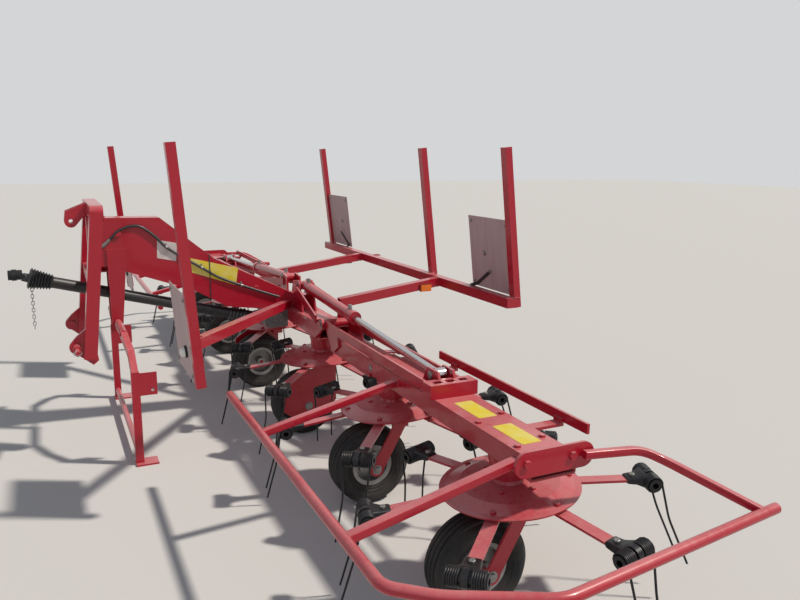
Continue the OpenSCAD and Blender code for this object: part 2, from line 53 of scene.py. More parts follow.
ahead = np.array([-math.cos(yaw) * math.cos(pitch), math.sin(yaw) * math.cos(pitch), -math.sin(pitch)])
level = np.cross(ahead, [0, 0, 1])
level /= np.linalg.norm(level)
down = np.cross(ahead, level)
right = math.cos(roll) * level + math.sin(roll) * down
lens_up = math.sin(roll) * level - math.cos(roll) * down
turned = np.column_stack([right, lens_up, -ahead, eye])
camera = bpy.data.objects.new("camera", bpy.data.cameras.new("camera"))
camera.data.sensor_width = SENSOR
camera.data.lens = LENS * SENSOR
camera.matrix_world = Matrix(np.vstack([turned, [0, 0, 0, 1]]).tolist())
bpy.context.scene.collection.objects.link(camera)
bpy.context.scene.camera = camera
bpy.context.scene.view_settings.view_transform = "Standard"


# The studio floor
# A matt pale ground, big enough to fill the view, that keeps the machine's shadow.
def linear(code):
    """Linear colour of an sRGB hex code: each channel through the sRGB curve."""
    value = np.array([int(code[i : i + 2], 16) for i in (1, 3, 5)]) / 255
    return (*np.where(value <= 0.04045, value / 12.92, ((value + 0.055) / 1.055) ** 2.4), 1.0)


def add(tree, kind, facts, output=0):
    """Adds a shader node of a kind and gives back one output. Each fact is a property in small letters,
    or an input by name or number, which is set to a value or linked from another node's output."""
    made = tree.nodes.new(f"ShaderNode{kind}")
    for name, value in facts.items():
        if isinstance(name, str) and name[0].islower():
            setattr(made, name, value)
        elif isinstance(value, bpy.types.NodeSocket):
            tree.links.new(value, made.inputs[name])
        else:
            made.inputs[name].default_value = value
    return made.outputs[output]


def shader(name, **values):
    """A material with one Principled shader that has these socket values, and its node tree."""
    made = bpy.data.materials.new(name)
    made.use_nodes = True
    surface = made.node_tree.nodes["Principled BSDF"]
    for key, value in values.items():
        surface.inputs[key.replace("_", " ")].default_value = value
    return made, made.node_tree, surface


floor_matt, tree, surface = shader("floor_matt", Base_Color=linear("#cdccca"), Roughness=0.9)
reach = 40.0
corners = [(-reach, -reach, 0), (reach, -reach, 0), (reach, reach, 0), (-reach, reach, 0)]
mesh = bpy.data.meshes.new("floor")
mesh.from_pydata(corners, [], [(0, 1, 2, 3)])
mesh.materials.append(floor_matt)
floor = bpy.data.objects.new("floor", mesh)
bpy.context.scene.collection.objects.link(floor)


# The studio light
# A distant key, high over the machine's left rear, with a broad soft fill from the viewer's side.
# The backdrop is pale where the camera or a glossy surface sees it, and lights the rest more dimly.
def lamp(name, place, angle, power, tint):
    """A distant lamp that shines from a place to the origin. The angle is how wide it looks."""
    made = bpy.data.objects.new(name, bpy.data.lights.new(name, "SUN"))
    made.data.angle = math.radians(angle)
    made.data.energy = power
    made.data.color = linear(tint)[:3]
    aim = np.array(place) / np.linalg.norm(place)
    across = np.cross([0, 0, 1], aim)
    across /= np.linalg.norm(across)
    turn = np.column_stack([across, np.cross(aim, across), aim, place])
    made.matrix_world = Matrix(np.vstack([turn, [0, 0, 0, 1]]).tolist())
    bpy.context.scene.collection.objects.link(made)


lamp("key", (3.0, 5.5, 7.5), 3, 3.3, "#fff6ea")
lamp("fill", (6.0, -6.0, 4.0), 80, 0.55, "#eef3ff")
world = bpy.data.worlds.new("studio")
bpy.context.scene.world = world
world.use_nodes = True
tree = world.node_tree
background = tree.nodes["Background"]
in_view = add(tree, "LightPath", {}, "Is Camera Ray")
mirrored = add(tree, "LightPath", {}, "Is Glossy Ray")
seen = add(tree, "Math", {"operation": "MAXIMUM", 0: in_view, 1: mirrored})
sky = add(tree, "Mix", {"data_type": "RGBA", 0: seen, 6: linear("#7c838b"), 7: linear("#e4e5e6")}, 2)
tree.links.new(sky, background.inputs["Color"])
background.inputs["Strength"].default_value = 0.85


# The painted steelwork
# Welded and folded mild steel, sprayed with a gloss red enamel that the sun has bleached a little
# on top, and made paler there still by a painted sheen of sun and sky. Its edges are knocked bare
# in flecks, and dust lies in a thin film on flat tops.
def enamel(name, code, faded_and_sheen, chip):
    """Sprayed enamel: its colour drifts with a 0.4 m noise and turns paler on upward faces, partly sun
    bleaching and partly a painted sheen of sun and sky. Dust specks of 25 mm lie there too, and 14 mm
    flecks are bare where the rounded normal leaves the face's own.
    Real orange peel of 2 mm is drawn at 4 mm, so that the picture can show it."""
    made, tree, surface = shader(name, Specular_IOR_Level=0.4, Coat_Weight=0.35, Coat_Roughness=0.08)
    place = add(tree, "TexCoord", {}, "Object")
    normal = add(tree, "NewGeometry", {}, "Normal")
    upward = add(tree, "SeparateXYZ", {0: normal}, "Z")
    top = add(tree, "MapRange", {"Value": upward, "From Min": 0.3, "From Max": 1.0})
    drift = add(tree, "TexNoise", {"Vector": place, "Scale": 2.4, "Detail": 4.0}, "Fac")
    share = {"Value": drift, "From Min": 0.3, "From Max": 0.7, "To Min": 0.25, "To Max": 0.85}
    # Upward faces take the paler colour: part sun bleaching, part painted sheen of sun and sky.
    fade_and_sheen = add(tree, "Math", {"operation": "MULTIPLY", 0: top, 1: add(tree, "MapRange", share)})
    paint = add(tree, "Mix", {"data_type": "RGBA", 0: fade_and_sheen, 6: linear(code), 7: linear(faded_and_sheen)}, 2)
    dust = add(tree, "TexNoise", {"Vector": place, "Scale": 38.0, "Detail": 6.0, "Roughness": 0.7}, "Fac")
    film = add(tree, "MapRange", {"Value": dust, "From Min": 0.42, "From Max": 0.8, "To Max": 0.3})
    film = add(tree, "Math", {"operation": "MULTIPLY", 0: film, 1: top})
    dusty = add(tree, "Mix", {"data_type": "RGBA", 0: film, 6: paint, 7: linear("#b0a196")}, 2)
    bent = add(tree, "Bevel", {"samples": 4, "Radius": 0.004})
    match = add(tree, "VectorMath", {"operation": "DOT_PRODUCT", 0: bent, 1: normal}, "Value")
    edge = add(tree, "MapRange", {"Value": match, "From Min": 0.995, "From Max": 0.93})
    fleck = add(tree, "TexNoise", {"Vector": place, "Scale": 70.0, "Detail": 5.0}, "Fac")
    fleck = add(tree, "MapRange", {"Value": fleck, "From Min": 0.5, "From Max": 0.58})
    bare = add(tree, "Math", {"operation": "MULTIPLY", 0: edge, 1: fleck})
    colour = add(tree, "Mix", {"data_type": "RGBA", 0: bare, 6: dusty, 7: linear(chip)}, 2)
    tree.links.new(colour, surface.inputs["Base Color"])
    rough = {"Value": dust, "From Min": 0.3, "From Max": 0.75, "To Min": 0.24, "To Max": 0.46}
    tree.links.new(add(tree, "MapRange", rough), surface.inputs["Roughness"])
    peel = add(tree, "TexNoise", {"Vector": place, "Scale": 260.0, "Detail": 2.0}, "Fac")
    skin = add(tree, "Bump", {"Strength": 0.05, "Distance": 0.0006, "Height": peel})
    tree.links.new(skin, surface.inputs["Normal"])
    return made


# The paler second colour goes on upward faces: partly sun bleaching, partly painted sheen.
red_enamel = enamel("red_enamel_on_steel", "#a80f28", "#d67a7f", "#6b4a3c")


def finish_node(name, material):
    """Gives every material slot of a CAD node one material."""
    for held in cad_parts[name].material_slots:
        held.material = material


HANDS = (("left", 1), ("right", -1))  # a wing's name and its side of the middle
REELS = range(6)  # from the left wing's end to the right one's
painted = ["centre_beam", "drawbar", "fold_tower", "centre_gear", "rear_frame", "front_frame"]
painted += ["headstock", "stand"]
painted += [f"{hand}_{part}" for hand, _ in HANDS for part in ("wing_beam", "wing_gear", "barrel")]
painted += [f"rotor_{i + 1}" for i in REELS]
for name in painted:
    finish_node(name, red_enamel)


# The wings' guards
# Steel pipe of 40 mm, bent cold into a hoop before and beside the outer reels, on two square arms
# welded to the beam's front, with a square rear arm from the end plate. All of it is red enamel.
def unit(vectors):
    """Vectors of length one: each is divided by its length."""
    return vectors / np.linalg.norm(vectors, axis=-1, keepdims=True)


def arcs(before, corner, after, bend, steps):
    """Rounded corners: quadratic curves that start and end a bend's length from each corner."""
    corner = corner[:, None]
    start = corner + bend * unit(before[:, None] - corner)
    end = corner + bend * unit(after[:, None] - corner)
    t = np.linspace(0, 1, steps)[None, :, None]
    return ((1 - t) ** 2 * start + 2 * t * (1 - t) * corner + t**2 * end).reshape(-1, 3)


def rounded(points, bend, steps=9):
    """A path through points with its inner corners rounded."""
    p = np.asarray(points, float)
    return np.vstack([p[:1], arcs(p[:-2], p[1:-1], p[2:], bend, steps), p[-1:]])


def circle(r, sides):
    """Profile of a round bar: points at equal turns on a circle."""
    turn = np.linspace(0, 2 * np.pi, sides, endpoint=False)
    return r * np.column_stack([np.cos(turn), np.sin(turn)])


def box_profile(wide, high, corner):
    """Profile of a rectangular bar: four quarter circles of four points, each set in from its corner."""
    turn = np.linspace(0, np.pi / 2, 4)[None, :] + (np.pi / 2 * np.arange(4))[:, None]
    middle = np.array([[1, 1], [-1, 1], [-1, -1], [1, -1]])[:, None] * [wide / 2 - corner, high / 2 - corner]
    return (middle + corner * np.stack([np.cos(turn), np.sin(turn)], -1)).reshape(-1, 2)


def carried(path, profile, reference=(0, 0, 1), ends=True):
    """A profile carried along a path: ring = point + profile x * side + profile y * up, where side is
    the direction crossed with the reference. Ends close with a ring shrunk to the path's end."""
    path = np.asarray(path, float)
    along = unit(np.gradient(path, axis=0))
    across = unit(np.cross(along, reference))
    up = np.cross(across, along)
    rings = path[:, None] + profile[None, :, :1] * across[:, None] + profile[None, :, 1:] * up[:, None]
    if not ends:
        return rings
    caps = [np.broadcast_to(path[k], rings[0].shape)[None] for k in (0, -1)]
    return np.concatenate([caps[0], rings, caps[1]])


def grid_faces(n, m, wrap_rows):
    """Faces of a grid of n rings with m points: each cell joins its four corners. Every ring is closed,
    and a wrapped grid also joins its last ring to its first."""
    i = np.arange(n if wrap_rows else n - 1)[:, None]
    j = np.arange(m)[None, :]
    a, b = i * m + j, i * m + (j + 1) % m
    c, d = ((i + 1) % n) * m + (j + 1) % m, ((i + 1) % n) * m + j
    return np.stack(np.broadcast_arrays(a, b, c, d), -1).reshape(-1, 4)


def piece(name, grids, material, body, wrap_rows=False, sharp=38):
    """Grids of points become one mesh at the origin, doubles merged, faces outward, riding on a body.
    Edges that turn by more than the sharp angle, in degrees, stay crisp."""
    points, faces, count = [], [], 0
    for grid in grids:
        points.append(grid.reshape(-1, 3))
        faces.append(grid_faces(*grid.shape[:2], wrap_rows) + count)
        count += grid.shape[0] * grid.shape[1]
    mesh = bpy.data.meshes.new(name)
    mesh.from_pydata(np.vstack(points).tolist(), [], np.vstack(faces).tolist())
    work = bmesh.new()
    work.from_mesh(mesh)
    bmesh.ops.remove_doubles(work, verts=work.verts, dist=1e-6)
    bmesh.ops.recalc_face_normals(work, faces=work.faces)
    work.to_mesh(mesh)
    work.free()
    mesh.polygons.foreach_set("use_smooth", np.ones(len(mesh.polygons), bool))
    mesh.set_sharp_from_angle(angle=math.radians(sharp))
    mesh.materials.append(material)
    made = bpy.data.objects.new(name, mesh)
    bpy.context.scene.collection.objects.link(made)
    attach(made, body)
    return made


HOOP_R = 0.020
HOOP_Z = 0.520
FRONT_BAR = (0.040, 0.031, 0.004)  # how wide, how high, and its corners' radius
REAR_BAR = (0.029, 0.029, 0.004)
hoop = [(1.190, -0.744), (3.070, -0.744), (3.180, -0.620), (3.337, -0.312), (3.205, 0.706)]
hoop = rounded([(x, y, HOOP_Z) for x, y in hoop], bend=0.045)
front_arm_x = (1.783, 2.780)
arms = [np.array([(x, -0.099, 0.670), (x, -0.742, HOOP_Z + 0.001)]) for x in front_arm_x]
rear_arm = [(2.8885, 0.110, 0.700), (2.916, 0.344, 0.689), (2.970, 0.424, 0.649), (3.2136, 0.640, HOOP_Z)]
rear_arm = rounded(rear_arm, bend=0.050)
for hand, mirror in HANDS:
    flip = np.array([mirror, 1, 1])
    shift = np.array([0, ROW, 0])
    grids = [carried(hoop * flip + shift, circle(HOOP_R, 20))]
    grids += [carried(arm * flip + shift, box_profile(*FRONT_BAR)) for arm in arms]
    grids += [carried(rear_arm * flip + shift, box_profile(*REAR_BAR))]
    made = piece(f"{hand}_guard_hoop", grids, red_enamel, f"{hand}_wing")
    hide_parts(f"{hand}_guard")


# The reels' springs and tines
# Each arm ends in a blacked steel clamp with a double spring of hard drawn 9 mm wire: two coils round
# a sleeve, whose ends run down as tines. One bolt holds the clamp to the arm.
REEL_PITCH = 1.04
REEL_Z = 0.5
reel_x = REEL_PITCH * (2.5 - np.arange(6))
phase = np.radians([12, 18, 12, 18, 12, 18])
tilt = math.radians(5)
ARMS = range(6)
ARM_END = 0.462
ARM_END_Z = -0.0515
ARM_SLOPE = 0.095
SPRING_OUT = 0.555  # the spring's axis lies this far out on the arm
SPRING_Z = -0.06
COIL_R = 0.0305
COIL_TURNS = 6
TURN_POINTS = 13
LEAVE_TURN = math.radians(11)  # the wire leaves the coil this far below the level
COIL_ENDS = (0.0185, 0.0675)  # along the axis, from the arm's middle
WIRE_R = 0.0045
KNEE = np.array([0.6145, -0.010, -0.210])
TIP = np.array([0.678, -0.040, -0.400])
TINE_SIDE = 0.052  # a tine's knee and tip are moved this far to its side
TINE_BEND = 0.03
CLAMP_CORNER = 0.007

# Spring wire that was blacked in oil gleams softly in 40 mm patches where the oil still lies, and has
# turned brown in 17 mm patches where it has gone.
black_wire, tree, surface = shader("oil_blacked_spring_wire", Metallic=0.5)
place = add(tree, "TexCoord", {}, "Object")
rust = add(tree, "TexNoise", {"Vector": place, "Scale": 60.0, "Detail": 5.0}, "Fac")
brown = add(tree, "MapRange", {"Value": rust, "From Min": 0.55, "From Max": 0.8, "To Max": 0.6})
tone = add(tree, "Mix", {"data_type": "RGBA", 0: brown, 6: linear("#232428"), 7: linear("#4a3a30")}, 2)
tree.links.new(tone, surface.inputs["Base Color"])
oil = add(tree, "TexNoise", {"Vector": place, "Scale": 25.0, "Detail": 4.0}, "Fac")
gleam = add(tree, "MapRange", {"Value": oil, "From Min": 0.3, "From Max": 0.7, "To Min": 0.3, "To Max": 0.55})
tree.links.new(gleam, surface.inputs["Roughness"])


def on_reel(i, k, local):
    """Points drawn for one arm, turned by its share of a turn and the reel's phase, leaned and placed."""
    turn = phase[i] + math.radians(60 * k)
    x = local[..., 0] * math.cos(turn) - local[..., 1] * math.sin(turn)
    y = local[..., 0] * math.sin(turn) + local[..., 1] * math.cos(turn)
    z = local[..., 2]
    leaned_y = y * math.cos(tilt) - z * math.sin(tilt)
    leaned_z = y * math.sin(tilt) + z * math.cos(tilt)
    return np.stack([reel_x[i] + x, ROW + leaned_y, REEL_Z + leaned_z], -1)


def spring(side):
    """One coil and its tine: a helix about the sleeve's axis, then a tangent line down to the tip."""
    turns = np.linspace(COIL_TURNS * 2 * np.pi, 0, COIL_TURNS * TURN_POINTS + 1) - LEAVE_TURN
    axial = side * np.linspace(*COIL_ENDS, len(turns))
    out = SPRING_OUT + COIL_R * np.cos(turns)
    coil = np.column_stack([out, axial, SPRING_Z + COIL_R * np.sin(turns)])
    aside = np.array([0, side * TINE_SIDE, 0])
    tine = rounded([coil[-1], KNEE + aside, TIP + aside], TINE_BEND, 5)
    return carried(np.vstack([coil, tine[1:]]), circle(WIRE_R, 7), (0, 1, 0))


def lathe(outline, centre, axis, sides):
    """An outline of (along, radius) turned about an axis through a centre: each of its points goes
    round a circle that is square to the axis."""
    axis = unit(np.asarray(axis, float))
    first = unit(np.cross(axis, (0, 0, 1) if abs(axis[2]) < 0.9 else (1, 0, 0)))
    second = np.cross(axis, first)
    turn = np.linspace(0, 2 * np.pi, sides, endpoint=False)[None, :, None]
    ring = np.cos(turn) * first + np.sin(turn) * second
    outline = np.asarray(outline, float)
    return np.asarray(centre, float) + outline[:, :1, None] * axis + outline[:, 1:, None] * ring


def clamp(stations):
    """The clamp on an arm's end: rounded boxes at stations (out, wide, high) along the sloping arm."""
    rings = [box_profile(wide, high, CLAMP_CORNER) for _, wide, high in stations]
    out = np.array([r for r, _, _ in stations])
    middle = ARM_END_Z - ARM_SLOPE * (out - ARM_END)
    x = np.broadcast_to(out[:, None], (len(stations), len(rings[0])))
    z = middle[:, None] + [ring[:, 1] for ring in rings]
    body = np.stack([x, [ring[:, 0] for ring in rings], z], -1)
    caps = [np.broadcast_to(body[k].mean(0), body[0].shape)[None] for k in (0, -1)]
    return np.concatenate([caps[0], body, caps[1]])


sleeve = [(-0.074, 0.012), (-0.074, 0.0255), (-0.0135, 0.0255), (-0.0125, 0.034), (0.0125, 0.034)]
sleeve += [(0.0135, 0.0255), (0.074, 0.0255), (0.074, 0.012)]
stations = [(ARM_END, 0.052, 0.017), (0.468, 0.058, 0.024), (0.500, 0.062, 0.030), (0.524, 0.078, 0.046)]
stations += [(0.538, 0.094, 0.056), (0.548, 0.096, 0.052)]
wires = [spring(side) for side in (-1, 1)]
spool = lathe(sleeve, (SPRING_OUT, 0, SPRING_Z), (0, 1, 0), 20)
for i in REELS:
    body = f"reel_{i + 1}"
    coils = [on_reel(i, k, wire) for k in ARMS for wire in wires]
    made = piece(f"spring_tines_{i + 1}", coils, black_wire, body, sharp=60)
    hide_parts(f"tines_{i + 1}")
    spools = [on_reel(i, k, spool) for k in ARMS]
    made = piece(f"spring_sleeves_{i + 1}", spools, black_wire, body, wrap_rows=True)
    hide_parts(f"tines_{i + 1}")
    clamps = [on_reel(i, k, clamp(stations)) for k in ARMS]
    piece(f"spring_clamps_{i + 1}", clamps, black_wire, body)


# The bolts of the reels
# Hexagon bolts: two through each arm's root and the dish, painted over with them, and one of zinc
# plated steel at the spring's clamp. The plating has gone dull, with grey bloom in 45 mm patches.
dull_zinc, tree, surface = shader("dull_zinc_plating", Metallic=0.85)
place = add(tree, "TexCoord", {}, "Object")
bloom = add(tree, "TexNoise", {"Vector": place, "Scale": 22.0, "Detail": 6.0, "Roughness": 0.7}, "Fac")
tone = add(tree, "Mix", {"data_type": "RGBA", 0: bloom, 6: linear("#a6a9aa"), 7: linear("#6d6760")}, 2)
tree.links.new(tone, surface.inputs["Base Color"])
haze = add(tree, "MapRange", {"Value": bloom, "To Min": 0.3, "To Max": 0.7})
tree.links.new(haze, surface.inputs["Roughness"])

hexagon_head = np.array([(0, 0), (0, 1), (0.62, 1), (0.7, 0.85), (0.7, 0.0)])


def bolt(centre, axis, r, sides=6):
    """A hexagon head of circumradius r, 0.7 r high with a chamfered top, on an axis from its seat."""
    return lathe(hexagon_head * r, centre, axis, sides)


ROOT_BOLT_R = 0.013
CLAMP_BOLT_R = 0.012
upright = (0, 0, 1)
root_places = ((0.235, -0.0065), (0.120, 0.0125))  # how far out on the arm, z
root_bolts = [bolt((out, 0, z), upright, ROOT_BOLT_R) for out, z in root_places]
clamp_bolt = bolt((0.490, 0, -0.0400), (ARM_SLOPE, 0, 0.995), CLAMP_BOLT_R)
for i in REELS:
    body = f"reel_{i + 1}"
    heads = [on_reel(i, k, head) for k in ARMS for head in root_bolts]
    piece(f"dish_bolts_{i + 1}", heads, red_enamel, body, sharp=20)
    heads = [on_reel(i, k, clamp_bolt) for k in ARMS]
    piece(f"clamp_bolts_{i + 1}", heads, dull_zinc, body, sharp=20)


# The wheels' tyres
# Soft low-pressure implement tyres of moulded black rubber, 396 mm over the tread, with four ribs
# round the crown and a bulged sidewall with two mould rings. Their beads sit on the rims.
WHEEL_Y = ROW - 0.14  # the wheels stand ahead of the row
TYRE_R = 0.198
RIB_DEEP = 0.0055
CROWN = 1.08  # the crown falls by this times the square of the distance across

# Tyre rubber is matt, and dry mud greys it in 0.1 m patches. Its moulded grain of 0.5 mm is too fine
# to show, so it is drawn at 2 mm.
moulded_rubber, tree, surface = shader("moulded_tyre_rubber", Roughness=0.72, Specular_IOR_Level=0.35)
place = add(tree, "TexCoord", {}, "Object")
dirt = add(tree, "TexNoise", {"Vector": place, "Scale": 9.0, "Detail": 6.0, "Roughness": 0.65}, "Fac")
mud = add(tree, "MapRange", {"Value": dirt, "From Min": 0.4, "From Max": 0.75, "To Max": 0.55})
tone = add(tree, "Mix", {"data_type": "RGBA", 0: mud, 6: linear("#1b1c1e"), 7: linear("#4b4640")}, 2)
tree.links.new(tone, surface.inputs["Base Color"])
grain = add(tree, "TexNoise", {"Vector": place, "Scale": 500.0, "Detail": 2.0}, "Fac")
skin = add(tree, "Bump", {"Strength": 0.2, "Distance": 0.0008, "Height": grain})
tree.links.new(skin, surface.inputs["Normal"])


def tyre_profile():
    """Outline (across, radius) of a tyre: a ribbed crown that falls with the square of the distance
    across, then a bulge along an arc, the mould rings and the bead on either side."""
    edge = np.array([0.052, 0.050, 0.031, 0.029, 0.023, 0.021, 0.004, 0.002])
    rib = np.concatenate([-edge, edge[::-1]])
    high = np.tile([0, 1, 1, 0], 4) * RIB_DEEP
    crown = np.stack([rib, TYRE_R - RIB_DEEP + high - CROWN * rib**2], 1)
    turn = np.radians(np.linspace(75, -40, 9))
    bulge = np.stack([0.045 + 0.033 * np.cos(turn), 0.157 + 0.031 * np.sin(turn)], 1)
    ring = [(0.0695, 0.134), (0.0720, 0.131), (0.0665, 0.127), (0.0625, 0.121), (0.0640, 0.117)]
    bead = [(0.058, 0.111), (0.050, 0.1045)]
    half = np.vstack([bulge, ring, bead])
    return np.vstack([half[::-1] * [-1, 1], crown, half])


for i in REELS:
    tyre = lathe(tyre_profile(), (reel_x[i], WHEEL_Y, TYRE_R), (1, 0, 0), 72)
    made = piece(f"ribbed_tyre_{i + 1}", [tyre], moulded_rubber, f"wheel_{i + 1}", wrap_rows=True)
    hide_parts(f"tyre_{i + 1}")


# The wheels' rims
# Pressed steel discs, zinc plated and now dull grey, each held to its hub by four nuts on a circle
# of 100 mm.
NUT_CIRCLE_R = 0.050
WHEEL_NUT_R = 0.013
diagonals = np.radians(45 + 90 * np.arange(4))
for i in REELS:
    finish_node(f"rim_{i + 1}", dull_zinc)
    out, face_x = (1, -0.004) if i < 3 else (-1, -0.010)  # where the nuts point, and the disc's face
    nut_y = WHEEL_Y + NUT_CIRCLE_R * np.cos(diagonals)
    nut_z = TYRE_R + NUT_CIRCLE_R * np.sin(diagonals)
    centres = np.column_stack([np.full(4, reel_x[i] + face_x), nut_y, nut_z])
    nuts = [bolt(centre, (out, 0, 0), WHEEL_NUT_R) for centre in centres]
    piece(f"wheel_nuts_{i + 1}", nuts, dull_zinc, f"wheel_{i + 1}", sharp=20)


# The gearbox under the drawbar
# A cast iron case in thin grey paint, so oil stains show in 70 mm patches and the sand's print makes
# the skin slightly pebbled. The sand's grain of 0.5 mm is drawn at 2.4 mm.
cast_iron, tree, surface = shader("grey_painted_cast_iron", Roughness=0.55)
place = add(tree, "TexCoord", {}, "Object")
stain = add(tree, "TexNoise", {"Vector": place, "Scale": 14.0, "Detail": 5.0}, "Fac")
tone = add(tree, "Mix", {"data_type": "RGBA", 0: stain, 6: linear("#7c7f80"), 7: linear("#5a5450")}, 2)
tree.links.new(tone, surface.inputs["Base Color"])
sand = add(tree, "TexNoise", {"Vector": place, "Scale": 420.0, "Detail": 3.0}, "Fac")
skin = add(tree, "Bump", {"Strength": 0.35, "Distance": 0.001, "Height": sand})
tree.links.new(skin, surface.inputs["Normal"])
finish_node("main_gearbox", cast_iron)


# The drive shaft
# A black moulded guard tube with ribbed bellows at both ends and a forged yoke in front. The plastic
# is worn to grey in 33 mm scuffs, and its matt mould grain of 0.3 mm is drawn at 1.4 mm.
black_moulding, tree, surface = shader("black_moulded_plastic", Roughness=0.42)
place = add(tree, "TexCoord", {}, "Object")
scuff = add(tree, "TexNoise", {"Vector": place, "Scale": 30.0, "Detail": 5.0}, "Fac")
tone = add(tree, "Mix", {"data_type": "RGBA", 0: scuff, 6: linear("#191a1c"), 7: linear("#3c3d3f")}, 2)
tree.links.new(tone, surface.inputs["Base Color"])
fine = add(tree, "TexNoise", {"Vector": place, "Scale": 700.0}, "Fac")
skin = add(tree, "Bump", {"Strength": 0.12, "Distance": 0.0005, "Height": fine})
tree.links.new(skin, surface.inputs["Normal"])

shaft_rear = np.array([0, ROW - 0.330, 0.650])
shaft_front = np.array([0, ROW - 1.660, 1.000])
shaft_len = np.linalg.norm(shaft_front - shaft_rear)


def bellows(start, end, r_start, r_end, fold, deep):
    """Outline of a bellows: a cone whose radius swells and sinks by a cosine along the axis."""
    s = np.linspace(start, end, 8 * round((end - start) / fold) + 1)
    cone = np.interp(s, [start, end], [r_start, r_end])
    return np.column_stack([s, cone - deep * np.cos(2 * np.pi * (s - start) / fold)])


collar = np.array([(-0.026, 0.048), (-0.026, 0.026), (0.008, 0.024), (0.008, 0)]) + [shaft_len, 0]
outline = [
    [(-0.020, 0), (-0.020, 0.038), (-0.018, 0.040), (0.036, 0.040)],
    bellows(0.038, 0.148, 0.046, 0.034, fold=0.022, deep=0.004),
    [(0.150, 0.034), (shaft_len - 0.158, 0.034)],
    bellows(shaft_len - 0.156, shaft_len - 0.028, 0.040, 0.060, fold=0.016, deep=0.005),
    collar,
]
guard_tube = lathe(np.vstack(outline), shaft_rear, shaft_front - shaft_rear, 32)
made = piece("shaft_guard", [guard_tube], black_moulding, "base", sharp=50)
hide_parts("pto_shaft")
hub = [(0.055, 0), (0.055, 0.0175), (0, 0.0175), (0, 0.027), (0.002, 0.029), (0.018, 0.029), (0.020, 0.033)]
hub += [(0.044, 0.033), (0.046, 0.029), (0.073, 0.029), (0.075, 0.026), (0.075, 0)]
cross_pin = [(0, 0), (0, 0.011), (0.060, 0.011), (0.060, 0)]
yoke = [lathe(hub, (0, ROW - 1.740, 1.015), (0, 1, 0), 32)]
yoke += [lathe(cross_pin, (-0.030, ROW - 1.660, 1.008), (1, 0, 0), 16)]
made = piece("shaft_yoke", yoke, black_wire, "base")
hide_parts("pto_shaft")


# The drawbar's hose
# A black rubber hydraulic hose of 16 mm, 1.21 m long, clipped along the drawbar's left side in easy
# curves. It has the guard tube's worn black look.
def eased(points):
    """A smooth path through points: Catmull-Rom pieces, each a cubic in eight steps of
    its two ends and their neighbours."""
    p = np.asarray(points, float)
    p = np.vstack([2 * p[0] - p[1], p, 2 * p[-1] - p[-2]])
    a, b, c, d = (p[k : len(p) - 3 + k, None] for k in range(4))
    t = np.linspace(0, 1, 8, endpoint=False)[None, :, None]
    curve = 0.5 * (2 * b + (c - a) * t + (2 * a - 5 * b + 4 * c - d) * t**2 + (3 * b - a - 3 * c + d) * t**3)
    return np.vstack([curve.reshape(-1, 3), p[-2:-1]])


HOSE_X = 0.0765
HOSE_R = 0.008
route = [(-1.19, 1.2), (-1.12, 1.265), (-1.02, 1.285), (-0.93, 1.225), (-0.86, 1.15), (-0.76, 1.08)]
route += [(-0.65, 1.01), (-0.54, 0.94), (-0.40, 0.88), (-0.26, 0.825), (-0.15, 0.785)]
route = np.array([(HOSE_X, y + ROW, z) for y, z in route])
hose = carried(eased(route), circle(HOSE_R, 12), (1, 0, 0))
made = piece("clipped_hose", [hose], black_moulding, "base")
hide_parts("hose")


# The cylinders' rods
# Ground and hard chromed steel, bright as a mirror, with a faint film of oil that dulls it in 40 mm
# patches.
hard_chrome, tree, surface = shader("hard_chrome", Metallic=1.0, Base_Color=linear("#c9cacc"))
place = add(tree, "TexCoord", {}, "Object")
oil = add(tree, "TexNoise", {"Vector": place, "Scale": 25.0, "Detail": 4.0}, "Fac")
smear = add(tree, "MapRange", {"Value": oil, "To Min": 0.1, "To Max": 0.3})
tree.links.new(smear, surface.inputs["Roughness"])
for hand, _ in HANDS:
    finish_node(f"{hand}_rod", hard_chrome)


# The marker panels
# Square steel sheets in a pale paint that sun and rain have turned to a greyed pink. The weather
# runs down them, so the marks are 33 mm wide and ten times as tall.
panel_sheet, tree, surface = shader("weathered_panel_sheet", Roughness=0.6)
place = add(tree, "TexCoord", {}, "Object")
streak = add(tree, "Mapping", {"Vector": place, "Scale": (30.0, 30.0, 3.0)})
wash = add(tree, "TexNoise", {"Vector": streak, "Scale": 1.0, "Detail": 5.0}, "Fac")
tone = add(tree, "Mix", {"data_type": "RGBA", 0: wash, 6: linear("#c0aead"), 7: linear("#a18b8a")}, 2)
tree.links.new(tone, surface.inputs["Base Color"])
finish_node("marker_panels", panel_sheet)


# The marker lamps
# Small amber position lamps on the rear arms, each one moulded lens of tinted plastic on a gasket.
def lens(name, code, dull):
    """Moulded lens plastic: glossy, with level flutes, and dulled in 25 mm patches by road film."""
    made, tree, surface = shader(name, Roughness=0.18, IOR=1.49)
    place = add(tree, "TexCoord", {}, "Object")
    haze = add(tree, "TexNoise", {"Vector": place, "Scale": 40.0, "Detail": 4.0}, "Fac")
    share = add(tree, "MapRange", {"Value": haze, "From Min": 0.45, "From Max": 0.8, "To Max": 0.5})
    tone = add(tree, "Mix", {"data_type": "RGBA", 0: share, 6: linear(code), 7: linear(dull)}, 2)
    tree.links.new(tone, surface.inputs["Base Color"])
    flute = add(tree, "TexWave", {"bands_direction": "Z", "Vector": place, "Scale": 60.0}, "Fac")
    skin = add(tree, "Bump", {"Strength": 0.3, "Distance": 0.001, "Height": flute})
    tree.links.new(skin, surface.inputs["Normal"])
    return made


finish_node("marker_lamps", lens("amber_lens_plastic", "#e8711a", "#a9683a"))


